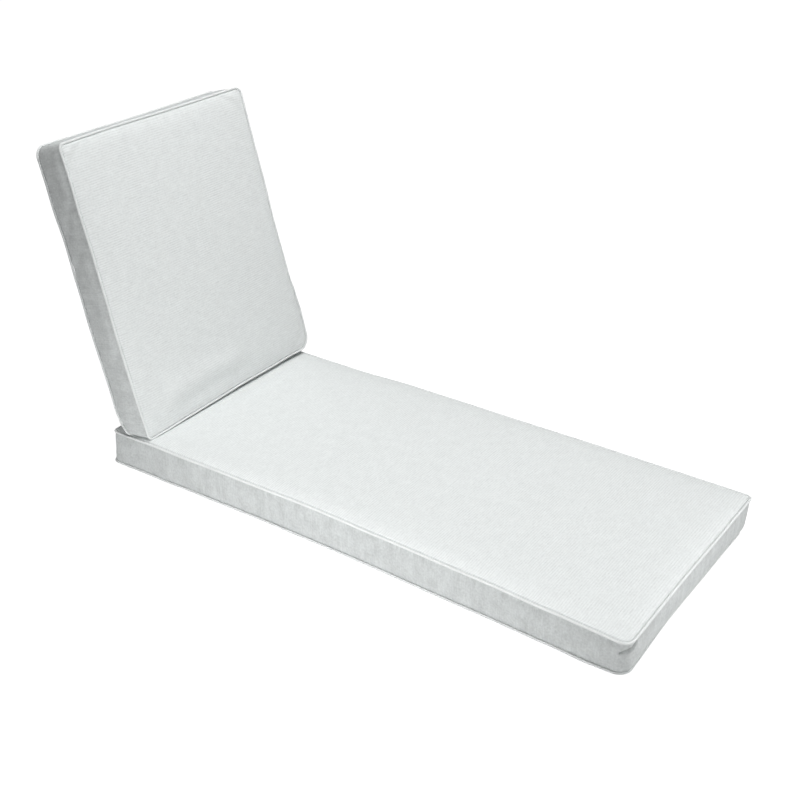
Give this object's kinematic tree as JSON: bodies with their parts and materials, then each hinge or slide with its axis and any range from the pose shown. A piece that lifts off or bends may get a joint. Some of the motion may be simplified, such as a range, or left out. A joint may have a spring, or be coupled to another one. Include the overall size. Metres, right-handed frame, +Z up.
{
  "type": "sun lounger cushion",
  "caption": "Boxed sun lounger cushion in plain cloth: a long flat seat cushion with a shorter back cushion that stands on its head end and leans back, piped along the boxing seams.",
  "frame": {"origin": "on the floor at the bottom centre of the whole object's box", "axes": "+Z up, +Y from the foot end of the seat to its head end where the back stands, +X toward the far long side as seen in the picture"},
  "size_m": [0.598, 1.4582, 0.7436],
  "materials": {
    "seat_cloth": "matt pale grey-white woven outdoor cloth with fine ribs across the width",
    "back_cloth": "the same matt pale grey-white ribbed outdoor cloth",
    "piping_cloth": "the same cloth cut on the bias and wrapped round a cord"
  },
  "bodies": {
    "root": {"seat_cushion": "seat_cloth", "seat_top_piping": "piping_cloth", "seat_bottom_piping": "piping_cloth", "back_cushion": "back_cloth", "back_front_piping": "piping_cloth", "back_rear_piping": "piping_cloth"}
  },
  "joints": []
}
